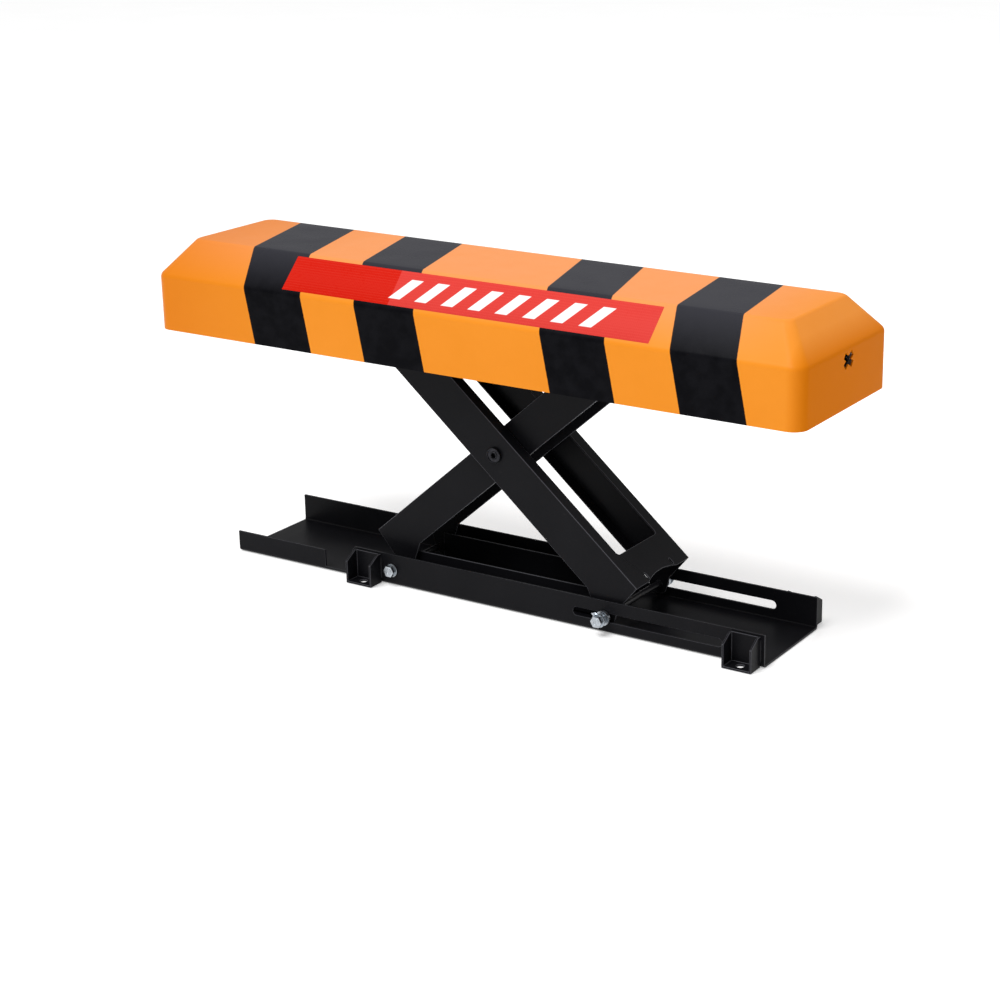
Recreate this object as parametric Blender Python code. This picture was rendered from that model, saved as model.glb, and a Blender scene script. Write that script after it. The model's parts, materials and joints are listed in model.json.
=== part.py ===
"""Folding parking lock: a striped cover bar on a scissor of two channel arms over a floor channel.

Run with: blender --background --python part.py

World frame: +X along the bar, +Y to the back, +Z up, in metres. The origin is on the ground under the
middle of the cover. The lock is modelled raised. Every length below is in millimetres.
"""

import math

import bmesh
import bpy
from mathutils import Matrix, Vector

MM = 0.001

# ---- driving dimensions -------------------------------------------------------------------------------
SHEET = 2.5  # base, rail and arm plate
FACE_GAP = 0.3  # between two pieces that rest on each other
RUN_GAP = 0.1  # radial clearance of a shaft in its hole

COVER_LENGTH = 900.0
COVER_WIDTH = 222.0
COVER_BOTTOM = 297.0
COVER_SHOULDER = 366.5
COVER_TOP = 408.5
COVER_END_RUN = 34.0  # how far the end slopes lean in
COVER_SIDE_RUN = 38.0  # how far the side slopes lean in
COVER_CORNER = 18.0
COVER_SHEET = 2.0

BASE_LEFT = -376.0
BASE_RIGHT = 390.0
BASE_WIDTH = 137.0
BASE_FLANGE = 40.0
BASE_LOW_FLANGE = 27.0  # at the front left; the rear left flange is taller
BASE_REAR_FLANGE = 37.0
LOW_FLANGE_END = -235.0
TALL_FLANGE_START = -192.0

ARM_HALF = 230.0  # centre pivot to either end pivot, along the arm
ARM_END = 234.5
OUTER_WIDTH = 124.0
OUTER_DEPTH = 52.8
INNER_WIDTH = 85.0
INNER_DEPTH = 47.0
LOWER_DROP = 31.0  # lower pivots lie this far below an arm's centre line
UPPER_RISE = 40.0  # upper pivots lie this far above it
ARM_ANGLE = math.radians(40.6)

FIXED_PIVOT = Vector((-130.4, 0.0, 19.3))
WINDOW_START = -176.0
WINDOW_END = 188.0
WINDOW_WIDTH = 90.0
INNER_END = 184.0  # the inner arm's channel stops short of the window's end

ROD_RADIUS = 4.0
PIVOT_RADIUS = 5.0
SLOT_HEIGHT = 2 * ROD_RADIUS + 3.0
EAR_RADIUS = 13.0
LUG_RADIUS = 12.0

SCREW_Z = 383.0
SCREW_RADIUS = 5.0
RAIL_LEFT = -170.0
RAIL_RIGHT = 352.0
RAIL_PLATE_LEFT = -410.0
RAIL_PLATE_RIGHT = 405.0
RAIL_DEPTH = 61.0

LOCK_Y = 3.5
LOCK_Z = 352.0
KEY_LEAN = 34.0  # degrees; the keyhole is two bars that cross

# ---- places worked out from them ------------------------------------------------------------------------
ARM_ALONG = Vector((math.cos(ARM_ANGLE), 0.0, math.sin(ARM_ANGLE)))
ARM_ABOVE = Vector((-math.sin(ARM_ANGLE), 0.0, math.cos(ARM_ANGLE)))
CENTRE = FIXED_PIVOT + ARM_ALONG * ARM_HALF + ARM_ABOVE * LOWER_DROP
SLIDING_PIVOT = Vector((2 * CENTRE.x - FIXED_PIVOT.x, 0.0, FIXED_PIVOT.z))
UPPER_SLIDER = CENTRE + ARM_ALONG * ARM_HALF + ARM_ABOVE * UPPER_RISE
UPPER_PIVOT = Vector((2 * CENTRE.x - UPPER_SLIDER.x, 0.0, UPPER_SLIDER.z))
FOLDED_SLIDER_X = FIXED_PIVOT.x + 2 * ARM_HALF
UPPER_TRAVEL = 2 * ARM_HALF - (UPPER_SLIDER.x - UPPER_PIVOT.x)
RAIL_TOP = COVER_TOP - COVER_SHEET - 1.0
BASE_INNER = BASE_WIDTH / 2 - SHEET
OUTER_INNER = OUTER_WIDTH / 2 - SHEET
INNER_INNER = INNER_WIDTH / 2 - SHEET


# ---- materials ------------------------------------------------------------------------------------------
def material(name, colour, roughness, metallic):
    found = bpy.data.materials.get(name)
    if found:
        return found
    made = bpy.data.materials.new(name)
    made.use_nodes = True
    shader = made.node_tree.nodes["Principled BSDF"]
    shader.inputs["Base Color"].default_value = (*colour, 1.0)
    shader.inputs["Roughness"].default_value = roughness
    shader.inputs["Metallic"].default_value = metallic
    made.diffuse_color = (*colour, 1.0)
    return made


def orange_paint():
    return material("orange_paint", (0.86, 0.33, 0.04), 0.35, 0.0)


def black_coat():
    return material("black_coat", (0.025, 0.025, 0.03), 0.45, 0.0)


def zinc():
    return material("zinc", (0.62, 0.64, 0.66), 0.3, 1.0)


def bright_steel():
    return material("bright_steel", (0.5, 0.5, 0.52), 0.35, 1.0)


def motor_metal():
    return material("motor_metal", (0.33, 0.34, 0.36), 0.4, 1.0)


def alloy():
    return material("alloy", (0.66, 0.67, 0.69), 0.4, 1.0)


def brass():
    return material("brass", (0.7, 0.52, 0.22), 0.3, 1.0)


def grey_plastic():
    return material("grey_plastic", (0.28, 0.29, 0.3), 0.5, 0.0)


def board_green():
    return material("board_green", (0.03, 0.22, 0.08), 0.4, 0.0)


def cell_wrap():
    return material("cell_wrap", (0.08, 0.16, 0.4), 0.35, 0.0)


# ---- building blocks ------------------------------------------------------------------------------------
def finish_mesh(name, made, smooth=False):
    """Turns a bmesh in millimetres into an object in metres."""
    bmesh.ops.scale(made, vec=(MM, MM, MM), verts=made.verts)
    bmesh.ops.recalc_face_normals(made, faces=made.faces)
    mesh = bpy.data.meshes.new(name)
    made.to_mesh(mesh)
    made.free()
    if smooth:
        mesh.shade_smooth()
        mesh.set_sharp_from_angle(angle=math.radians(35))
    obj = bpy.data.objects.new(name, mesh)
    bpy.context.scene.collection.objects.link(obj)
    return obj


def prism(name, outline, start, end, place, smooth=False):
    """Extrudes an outline of (u, v) points from start to end. place(u, v, w) gives the point in space."""
    made = bmesh.new()
    near = [made.verts.new(place(u, v, start)) for u, v in outline]
    far = [made.verts.new(place(u, v, end)) for u, v in outline]
    made.faces.new(near)
    made.faces.new(reversed(far))
    for i in range(len(outline)):
        j = (i + 1) % len(outline)
        made.faces.new((near[j], near[i], far[i], far[j]))
    return finish_mesh(name, made, smooth)


def along_x(u, v, w):
    return Vector((w, u, v))


def along_y(u, v, w):
    return Vector((u, w, v))


def along_z(u, v, w):
    return Vector((u, v, w))


def box(name, low, high):
    outline = [(low[0], low[1]), (high[0], low[1]), (high[0], high[1]), (low[0], high[1])]
    return prism(name, outline, low[2], high[2], along_z)


def arc(u, v, radius, start, end, steps=10):
    """Points on an arc, in degrees, both ends included."""
    angles = [math.radians(start + (end - start) * i / steps) for i in range(steps + 1)]
    return [(u + radius * math.cos(a), v + radius * math.sin(a)) for a in angles]


def circle(u, v, radius, count=32):
    turn = 2 * math.pi / count
    return [(u + radius * math.cos(turn * i), v + radius * math.sin(turn * i)) for i in range(count)]


def hexagon(u, v, across_flats):
    return circle(u, v, across_flats / math.sqrt(3), 6)


def slot(u_start, u_end, v, height):
    """The outline of a slot whose round ends are centred on u_start and u_end."""
    return arc(u_end, v, height / 2, -90, 90, 8) + arc(u_start, v, height / 2, 90, 270, 8)


def rounded_box(u_low, u_high, v_low, v_high, radius, steps=5):
    return (
        arc(u_high - radius, v_low + radius, radius, -90, 0, steps)
        + arc(u_high - radius, v_high - radius, radius, 0, 90, steps)
        + arc(u_low + radius, v_high - radius, radius, 90, 180, steps)
        + arc(u_low + radius, v_low + radius, radius, 180, 270, steps)
    )


def combine(obj, tool, operation):
    """Applies one Boolean to obj and throws the tool away."""
    step = obj.modifiers.new(operation.lower(), "BOOLEAN")
    step.operation = operation
    step.solver = "EXACT"
    step.object = tool
    bpy.context.view_layer.update()
    graph = bpy.context.evaluated_depsgraph_get()
    result = bpy.data.meshes.new_from_object(obj.evaluated_get(graph))
    obj.modifiers.clear()
    old = obj.data
    obj.data = result
    bpy.data.meshes.remove(old)
    bpy.data.objects.remove(tool)
    return obj


def cut(obj, tool):
    return combine(obj, tool, "DIFFERENCE")


def add(obj, tool):
    return combine(obj, tool, "UNION")


def keep(obj, tool):
    return combine(obj, tool, "INTERSECT")


def turned(name, place, rings, count=32):
    """A closed solid of revolution: rings of (radius, w) from one end to the other, about place's w axis."""
    made = bmesh.new()
    loops = [[made.verts.new(place(u, v, w)) for u, v in circle(0, 0, radius, count)] for radius, w in rings]
    made.faces.new(loops[0])
    made.faces.new(reversed(loops[-1]))
    for low, high in zip(loops, loops[1:]):
        for i in range(count):
            j = (i + 1) % count
            made.faces.new((low[j], low[i], high[i], high[j]))
    return finish_mesh(name, made, smooth=True)


def at(obj, x=0.0, y=0.0, z=0.0):
    obj.location = Vector((x, y, z)) * MM
    return obj


def ring(name, outer, inner, start, end, place):
    """A washer, collar or bush between start and end on an axis through the origin."""
    blank = prism(name, circle(0, 0, outer), start, end, place, smooth=True)
    return cut(blank, prism("bore", circle(0, 0, inner), start - 5, end + 5, place))


def nut(name, across_flats, inner, start, end, place):
    blank = prism(name, hexagon(0, 0, across_flats), start, end, place)
    return cut(blank, prism("bore", circle(0, 0, inner, 24), start - 5, end + 5, place))


def joint_empty(name, point, angle=0.0):
    empty = bpy.data.objects.new(name, None)
    empty.empty_display_size = 0.03
    empty.matrix_world = Matrix.Translation(point * MM) @ Matrix.Rotation(angle, 4, "Y")
    bpy.context.scene.collection.objects.link(empty)
    return empty


def ride(empty, objects, paint=None):
    """Hangs the objects on a joint's empty without moving them, and paints them."""
    bpy.context.view_layer.update()
    for obj in objects:
        obj.parent = empty
        obj.matrix_parent_inverse = empty.matrix_world.inverted()
        if paint:
            obj.data.materials.clear()
            obj.data.materials.append(paint)


def painted(obj, paint):
    obj.data.materials.clear()
    obj.data.materials.append(paint)
    return obj


# ---- base -----------------------------------------------------------------------------------------------
def channel_profile(half_width, height, thickness, bend):
    """The outline (y, z) of an upward-facing channel with bent corners, its underside at z = 0."""
    inner = bend - thickness if bend > thickness else 0.4
    w = half_width
    return (
        [(-w, height), (-w, bend)]
        + arc(-w + bend, bend, bend, 180, 270, 4)[1:]
        + arc(w - bend, bend, bend, 270, 360, 4)
        + [(w, height), (w - thickness, height)]
        + arc(w - thickness - inner, thickness + inner, inner, 0, -90, 3)
        + arc(-w + thickness + inner, thickness + inner, inner, 270, 180, 3)
        + [(-w + thickness, height)]
    )


def base_channel():
    """The floor channel: lower flanges at the left, tall ones under the arms, both slotted for the slider."""
    profile = channel_profile(BASE_WIDTH / 2, BASE_FLANGE, SHEET, 4.0)
    tray = prism("base_channel", profile, BASE_LEFT, BASE_RIGHT, along_x)
    wide = BASE_WIDTH
    corner = 6.0
    low_cut = [
        (BASE_LEFT - 10, BASE_LOW_FLANGE),
        (LOW_FLANGE_END, BASE_LOW_FLANGE),
        (LOW_FLANGE_END, SHEET + 2.0),
        (TALL_FLANGE_START, SHEET + 2.0),
        (TALL_FLANGE_START, BASE_FLANGE - corner),
        (TALL_FLANGE_START + corner, BASE_FLANGE + 1),
        (TALL_FLANGE_START + corner, BASE_FLANGE + 10),
        (BASE_LEFT - 10, BASE_FLANGE + 10),
    ]
    cut(tray, prism("low_flange_cut", low_cut, -wide, 0, along_y))
    rear_cut = [
        (BASE_LEFT - 10, BASE_REAR_FLANGE),
        (TALL_FLANGE_START, BASE_REAR_FLANGE),
        (TALL_FLANGE_START + 4, BASE_FLANGE + 1),
        (TALL_FLANGE_START + 4, BASE_FLANGE + 10),
        (BASE_LEFT - 10, BASE_FLANGE + 10),
    ]
    cut(tray, prism("rear_flange_cut", rear_cut, 0, wide, along_y))
    slider_slot = slot(SLIDING_PIVOT.x - 38, FOLDED_SLIDER_X + 1.0, FIXED_PIVOT.z, SLOT_HEIGHT)
    cut(tray, prism("slider_slot_cut", slider_slot, -wide, wide, along_y))
    rod_hole = circle(FIXED_PIVOT.x, FIXED_PIVOT.z, ROD_RADIUS + RUN_GAP)
    cut(tray, prism("rod_hole_cut", rod_hole, -wide, wide, along_y))
    return painted(tray, black_coat())


def inner_guide_channel():
    """The narrow channel nested on the floor between the arms, which stiffens it."""
    profile = channel_profile(36.0, 35.5, 2.0, 3.0)
    return painted(at(prism("inner_guide_channel", profile, -124, 150, along_x), z=SHEET + FACE_GAP), black_coat())


def anchor_bracket(name, x_middle, side):
    """An open-fronted box bracket that bolts the base to the ground. side is -1 at the front, 1 at the back."""
    half, depth, height, wall = 19.0, 22.5, 38.0, 2.5
    near = BASE_WIDTH / 2 + FACE_GAP
    far = near + depth
    gusset = [(near, 0), (far, 0), (far, height - 9.5), (near + 6.0, height), (near, height)]
    block = prism(name, gusset, x_middle - half, x_middle + half, lambda u, v, w: Vector((w, side * u, v)))
    hollow = box(
        "hollow",
        (x_middle - half + wall, min(side * (near + wall), side * (far + 9)), wall),
        (x_middle + half - wall, max(side * (near + wall), side * (far + 9)), height + 9),
    )
    cut(block, hollow)
    hole = circle(x_middle, side * (far - 10.5), 4.75, 24)
    cut(block, prism("anchor_hole", hole, -5, wall + 5, along_z))
    return painted(block, black_coat())


def hex_bolt(name, point, start, end, across=13.0, head=5.5):
    """A rod along Y from start to end, with a hexagon head in front of start."""
    rod = prism(name, circle(0, 0, ROD_RADIUS), start - 2, end, along_y, smooth=True)
    add(rod, prism("head", hexagon(0, 0, across), start - head, start, along_y))
    return painted(at(rod, point.x, 0, point.z), zinc())


def fixed_pivot_pieces():
    """The lower rod that the inner arm turns on, with its washers, nut and spacers.

    The spacers end where the outer arm's sides come down when the lock folds."""
    half = BASE_WIDTH / 2
    washer_end = half + FACE_GAP + 1.6
    pieces = [hex_bolt("fixed_pivot_bolt", FIXED_PIVOT, -washer_end - FACE_GAP, washer_end + 10.0)]
    for side, label in ((-1, "front"), (1, "rear")):
        low, high = sorted((side * (half + FACE_GAP), side * washer_end))
        pieces.append(ring(f"fixed_pivot_washer_{label}", 8.5, ROD_RADIUS + RUN_GAP, low, high, along_y))
        low, high = sorted((side * (INNER_WIDTH / 2 + FACE_GAP), side * (OUTER_INNER - 1.0)))
        pieces.append(ring(f"fixed_pivot_spacer_{label}", 7.0, ROD_RADIUS + RUN_GAP, low, high, along_y))
    nut_start = washer_end + FACE_GAP
    pieces.append(nut("fixed_pivot_nut", 13.0, ROD_RADIUS + RUN_GAP, nut_start, nut_start + 6.5, along_y))
    for piece in pieces[1:]:
        at(piece, FIXED_PIVOT.x, 0, FIXED_PIVOT.z)
        painted(piece, zinc())
    return pieces


# ---- arms, in their own frame: u along the arm from the centre pivot, v up from its centre line ---------
def arm_block(name, width, web_top):
    """A long block with the channel's hollow and the space above its web taken out."""
    reach, low, high = 260.0, -60.0, 70.0
    inside = width / 2 - SHEET
    block = box(name, (-reach, -width / 2, low), (reach, width / 2, high))
    cut(block, box("under_web", (-reach - 5, -inside, low - 5), (reach + 5, inside, web_top - SHEET)))
    cut(block, box("over_web", (-reach - 5, -inside, web_top), (reach + 5, inside, high + 5)))
    return block


def pivot_holes(block, holes, width):
    for u, v, radius in holes:
        cut(block, prism("pivot_hole", circle(u, v, radius + RUN_GAP), -width, width, along_y))


def outer_arm():
    """The wide arm, which leans from the upper left to the slider. Its web has the long window."""
    depth = OUTER_DEPTH / 2
    outline = (
        [(-ARM_END, -depth), (190, -depth)]
        + arc(ARM_HALF, -LOWER_DROP, EAR_RADIUS, -120, 0)
        + [(ARM_END, -LOWER_DROP + 18), (ARM_END, depth), (-188, depth)]
        + arc(-ARM_HALF, UPPER_RISE, LUG_RADIUS, 60, 180)
        + [(-ARM_END, UPPER_RISE - 17)]
    )
    arm = arm_block("outer_arm", OUTER_WIDTH, depth)
    keep(arm, prism("outline", outline, -OUTER_WIDTH, OUTER_WIDTH, along_y))
    half = WINDOW_WIDTH / 2
    window = rounded_box(WINDOW_START, WINDOW_END, -half, half, 5.0)
    cut(arm, prism("window", window, depth - SHEET - 4, depth + 4, along_z))
    notch = circle(ARM_END + 86, 0, 92.0, 96)
    cut(arm, prism("end_notch", notch, depth - SHEET - 4, depth + 4, along_z))
    for side in (-1, 1):
        slit = slot(ARM_HALF - 6, ARM_HALF - 1, side * 29.0, 3.0)
        cut(arm, prism("tie_slit", slit, depth - SHEET - 4, depth + 4, along_z))
    upper_cut = box(
        "upper_web_end",
        (-ARM_END - 10, -OUTER_INNER + 1, depth - SHEET - 4),
        (-ARM_HALF + 30, OUTER_INNER - 1, depth + 4),
    )
    cut(arm, upper_cut)
    holes = ((0, 0, PIVOT_RADIUS), (ARM_HALF, -LOWER_DROP, ROD_RADIUS), (-ARM_HALF, UPPER_RISE, ROD_RADIUS))
    pivot_holes(arm, holes, OUTER_WIDTH)
    return painted(arm, black_coat())


def inner_arm():
    """The narrow arm, which leans from the fixed pivot to the drive. Lugs lift its upper pivot over the web."""
    depth = INNER_DEPTH / 2
    lug_bottom = UPPER_RISE - LUG_RADIUS
    lug_top = UPPER_RISE + LUG_RADIUS
    outline = (
        [(-ARM_END, -LOWER_DROP + 18)]
        + arc(-ARM_HALF, -LOWER_DROP, EAR_RADIUS, 180, 300)
        + [(-190, -depth), (INNER_END - 8, -depth), (INNER_END, -depth + 8), (INNER_END, lug_bottom - 4)]
        + [(INNER_END + 4, lug_bottom)]
        + arc(ARM_HALF, UPPER_RISE, LUG_RADIUS, -90, 90)
        + [(168, lug_top), (130, depth), (-ARM_END, depth)]
    )
    arm = arm_block("inner_arm", INNER_WIDTH, depth)
    keep(arm, prism("outline", outline, -INNER_WIDTH, INNER_WIDTH, along_y))
    holes = ((0, 0, PIVOT_RADIUS), (-ARM_HALF, -LOWER_DROP, ROD_RADIUS), (ARM_HALF, UPPER_RISE, ROD_RADIUS))
    pivot_holes(arm, holes, INNER_WIDTH)
    return painted(arm, black_coat())


def centre_pivot_pieces(side, label):
    """One of the two short bolts that join the arms, with the bush between their flanges and its nut."""

    def toward(u, v, w):
        return Vector((u, side * w, v))

    outside = OUTER_WIDTH / 2
    head = outside + FACE_GAP
    nut_start = INNER_INNER - FACE_GAP - 6.0
    bolt = prism(f"centre_pivot_bolt_{label}", circle(0, 0, PIVOT_RADIUS), nut_start - 4, head + 1.5, toward, True)
    add(bolt, prism("head", circle(0, 0, 9.5), head, head + 2.6, toward))
    cut(bolt, prism("socket", hexagon(0, 0, 6.0), head - 2.5, head + 5, toward))
    bush_start, bush_end = INNER_WIDTH / 2 + FACE_GAP, OUTER_INNER - FACE_GAP
    bush = ring(f"centre_pivot_bush_{label}", 9.0, PIVOT_RADIUS + RUN_GAP, bush_start, bush_end, toward)
    bolt_nut = nut(f"centre_pivot_nut_{label}", 16.0, PIVOT_RADIUS + RUN_GAP, nut_start, nut_start + 6.0, toward)
    pieces = [bolt, bush, bolt_nut]
    for piece in pieces:
        at(piece, CENTRE.x, 0, CENTRE.z)
    painted(bolt, black_coat())
    painted(bush, brass())
    painted(bolt_nut, zinc())
    return pieces


def slider_pieces():
    """The rod that runs in the base's slots, with a collar, washer and nut standing outside each flange."""
    half = BASE_WIDTH / 2
    collar_start, collar_end = half + 1.2, half + 5.2
    washer_start, washer_end = half + 12.0, half + 13.8
    reach = washer_end + FACE_GAP
    pieces = [hex_bolt("slider_bolt", SLIDING_PIVOT, -reach, reach + 7.5)]
    for side, label in ((-1, "front"), (1, "rear")):
        for kind, radius, start, end in (
            ("collar", 9.0, collar_start, collar_end),
            ("washer", 8.5, washer_start, washer_end),
        ):
            low, high = sorted((side * start, side * end))
            pieces.append(ring(f"slider_{kind}_{label}", radius, ROD_RADIUS + RUN_GAP, low, high, along_y))
    pieces.append(nut("slider_nut", 13.0, ROD_RADIUS + RUN_GAP, reach, reach + 6.0, along_y))
    for piece in pieces[1:]:
        at(piece, SLIDING_PIVOT.x, 0, SLIDING_PIVOT.z)
        painted(piece, zinc())
    return pieces


# ---- head: the cover and what it carries ----------------------------------------------------------------
def ring_points(half_x, half_y, radius, z):
    return [Vector((u, v, z)) for u, v in rounded_box(-half_x, half_x, -half_y, half_y, radius, 6)]


def cover_rings(inset):
    """The cover's section as rings, from its open bottom up, inset for the inner face."""
    half_x, half_y = COVER_LENGTH / 2, COVER_WIDTH / 2
    rise = COVER_TOP - COVER_SHOULDER
    soft = 5.0  # how far each shoulder is rounded along its faces
    lean = inset * math.tan(math.atan2(rise, COVER_SIDE_RUN) / 2)
    shoulder = COVER_SHOULDER - inset + lean
    top = COVER_TOP - inset
    slope_steps = ((0.0, -soft), (0.35, -0.25 * soft), (soft * 0.9, soft))
    rings = [(0.0, COVER_BOTTOM)]
    rings += [(run / COVER_SIDE_RUN, shoulder + z) for run, z in slope_steps]
    rings += [(1 - 0.11, top - soft * 0.95), (1 - 0.02, top - 1.0), (1.1, top)]
    points = []
    for share, z in rings:
        x = half_x - inset - share * COVER_END_RUN
        y = half_y - inset - share * COVER_SIDE_RUN
        points.append(ring_points(x, y, max(COVER_CORNER - inset - share * 7.0, 4.0), z))
    return points


def key_bar(y, z, half_length, half_width, lean):
    """One arm of the keyhole's leaning cross, as an outline of (y, z) points."""
    turn = Matrix.Rotation(math.radians(lean), 2)
    corners = rounded_box(-half_length, half_length, -half_width, half_width, 1.5, 3)
    points = [turn @ Vector(corner) for corner in corners]
    return [(y + point.x, z + point.y) for point in points]


def cover_shell():
    """The pressed cover: upright walls, slopes on all four sides, a flat top and an open bottom."""
    made = bmesh.new()
    outside = [[made.verts.new(p) for p in ring_of] for ring_of in cover_rings(0.0)]
    inside = [[made.verts.new(p) for p in ring_of] for ring_of in cover_rings(COVER_SHEET)]

    def bridge(first, second):
        for i in range(len(first)):
            j = (i + 1) % len(first)
            made.faces.new((first[i], first[j], second[j], second[i]))

    for low, high in zip(outside, outside[1:]):
        bridge(low, high)
    for low, high in zip(inside, inside[1:]):
        bridge(high, low)
    bridge(inside[0], outside[0])
    made.faces.new(outside[-1])
    made.faces.new(list(reversed(inside[-1])))
    shell = finish_mesh("cover_shell", made, smooth=True)
    for lean in (-KEY_LEAN, KEY_LEAN):
        bar = key_bar(LOCK_Y, LOCK_Z, 12.0, 4.1, lean)
        cut(shell, prism("keyhole", bar, COVER_LENGTH / 2 - 12, COVER_LENGTH / 2 + 12, along_x))
    return painted(shell, orange_paint())


def top_rail():
    """The inner frame: a long plate under the cover's top with flanges over the arms, slotted for the drive."""
    half = BASE_WIDTH / 2
    bottom = RAIL_TOP - RAIL_DEPTH
    block = box("top_rail", (RAIL_PLATE_LEFT, -half, bottom), (RAIL_PLATE_RIGHT, half, RAIL_TOP))
    inside = box(
        "rail_inside",
        (RAIL_PLATE_LEFT - 5, -BASE_INNER, bottom - 5),
        (RAIL_PLATE_RIGHT + 5, BASE_INNER, RAIL_TOP - SHEET),
    )
    cut(block, inside)
    for start, end in ((RAIL_PLATE_LEFT - 5, RAIL_LEFT), (RAIL_RIGHT, RAIL_PLATE_RIGHT + 5)):
        low, high = (start, -half - 5, bottom - 5), (end, half + 5, RAIL_TOP - SHEET)
        cut(block, box("flange_end", low, high))
    drive_slot = slot(UPPER_SLIDER.x, UPPER_SLIDER.x + UPPER_TRAVEL, UPPER_SLIDER.z, SLOT_HEIGHT)
    cut(block, prism("drive_slot_cut", drive_slot, -half - 9, half + 9, along_y))
    rod_hole = circle(UPPER_PIVOT.x, UPPER_PIVOT.z, ROD_RADIUS + RUN_GAP)
    cut(block, prism("rod_hole_cut", rod_hole, -half - 9, half + 9, along_y))
    return painted(block, black_coat())


def upper_pivot_pieces():
    """The rod that hangs the rail on the outer arm, with spacers, washers and nut."""
    half = BASE_WIDTH / 2
    washer_end = half + FACE_GAP + 1.6
    pieces = [hex_bolt("upper_pivot_bolt", UPPER_PIVOT, -washer_end - FACE_GAP, washer_end + 10.0)]
    for side, label in ((-1, "front"), (1, "rear")):
        low, high = sorted((side * (half + FACE_GAP), side * washer_end))
        pieces.append(ring(f"upper_pivot_washer_{label}", 8.5, ROD_RADIUS + RUN_GAP, low, high, along_y))
    nut_start = washer_end + FACE_GAP
    pieces.append(nut("upper_pivot_nut", 13.0, ROD_RADIUS + RUN_GAP, nut_start, nut_start + 6.5, along_y))
    for piece in pieces[1:]:
        at(piece, UPPER_PIVOT.x, 0, UPPER_PIVOT.z)
        painted(piece, zinc())
    return pieces


TRAY_LEFT, TRAY_RIGHT = -402.0, -186.0
TRAY_HALF = 42.0
TRAY_BOTTOM = 303.0


def equipment_tray():
    """The channel hung under the rail's plate that carries the battery, the controller and the motor."""
    height = RAIL_TOP - SHEET - FACE_GAP - TRAY_BOTTOM
    tray = prism("equipment_tray", channel_profile(TRAY_HALF, height, 2.0, 3.0), TRAY_LEFT, TRAY_RIGHT, along_x)
    for i in range(4):
        middle = TRAY_LEFT + 32 + 50 * i
        window = rounded_box(middle - 18, middle + 18, 62.0, 92.0, 4.0)
        cut(tray, prism("vent", window, -TRAY_HALF - 5, TRAY_HALF + 5, along_y))
    return painted(at(tray, z=TRAY_BOTTOM), black_coat())


def battery_pieces():
    """The battery box, its lid and the cells in it."""
    left, right, half, wall = TRAY_LEFT + 6, TRAY_LEFT + 140, 37.0, 2.0
    bottom = TRAY_BOTTOM + 2.0 + FACE_GAP
    top = bottom + 38.0
    case = prism("battery_case", rounded_box(left, right, -half, half, 4.0), bottom, top, along_z)
    hollow = rounded_box(left + wall, right - wall, -half + wall, half - wall, 2.0)
    cut(case, prism("hollow", hollow, bottom + wall, top + 5, along_z))
    lid = prism("battery_lid", rounded_box(left, right, -half, half, 4.0), top + 0.3, top + 2.8, along_z)
    painted(case, grey_plastic())
    painted(lid, grey_plastic())
    cells = []
    for i in range(4):
        row, column = divmod(i, 2)
        start = left + wall + 1.5 + column * 63.0
        rings = ((16.0, start), (16.4, start + 0.5), (16.4, start + 59.0), (5.0, start + 59.3), (5.0, start + 61.0))
        cell = turned(f"battery_cell_{i + 1}", along_x, rings, 24)
        painted(at(cell, y=-17.3 + 34.6 * row, z=bottom + wall + 17.0), cell_wrap())
        cells.append(cell)
    return [case, lid] + cells


def controller_pieces():
    """The control board in its housing, with the aerial that listens for the remote."""
    left, right, half, wall = TRAY_LEFT + 146, TRAY_RIGHT - 6, 36.0, 2.0
    bottom = TRAY_BOTTOM + 2.0 + FACE_GAP
    top = bottom + 24.0
    case = prism("controller_case", rounded_box(left, right, -half, half, 4.0), bottom, top, along_z)
    hollow = rounded_box(left + wall, right - wall, -half + wall, half - wall, 2.0)
    cut(case, prism("hollow", hollow, bottom + wall, top + 5, along_z))
    board_z = bottom + 8.0
    board = box("circuit_board", (left + 4, -half + 4, board_z), (right - 4, half - 4, board_z + 1.6))
    add(board, box("relay", (left + 8, -24, board_z + 0.8), (left + 26, -8, board_z + 13.0)))
    add(board, box("terminal", (right - 30, -28, board_z + 0.8), (right - 10, -18, board_z + 10.0)))
    add(board, prism("capacitor", circle(left + 20, 12, 5.0, 16), board_z + 0.8, board_z + 13.0, along_z))
    for x in (left + 8, right - 8):
        for y in (-half + 8, half - 8):
            post = prism("post", circle(x, y, 2.5, 16), bottom + wall - 0.5, board_z - FACE_GAP, along_z)
            add(case, post)
    aerial_x = right - 14
    aerial = prism("aerial", circle(aerial_x, TRAY_HALF + 8, 2.4, 16), 328.0, 392.0, along_z, smooth=True)
    foot = box("foot", (aerial_x - 6, TRAY_HALF + FACE_GAP, 326.0), (aerial_x + 6, TRAY_HALF + 12, 332.0))
    add(aerial, foot)
    painted(case, grey_plastic())
    painted(board, board_green())
    painted(aerial, black_coat())
    return [case, board, aerial]


MOTOR_LEFT, MOTOR_RIGHT = -394.0, -322.0
GEARBOX_RIGHT = -266.0
COUPLING_RIGHT = -226.0


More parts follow.
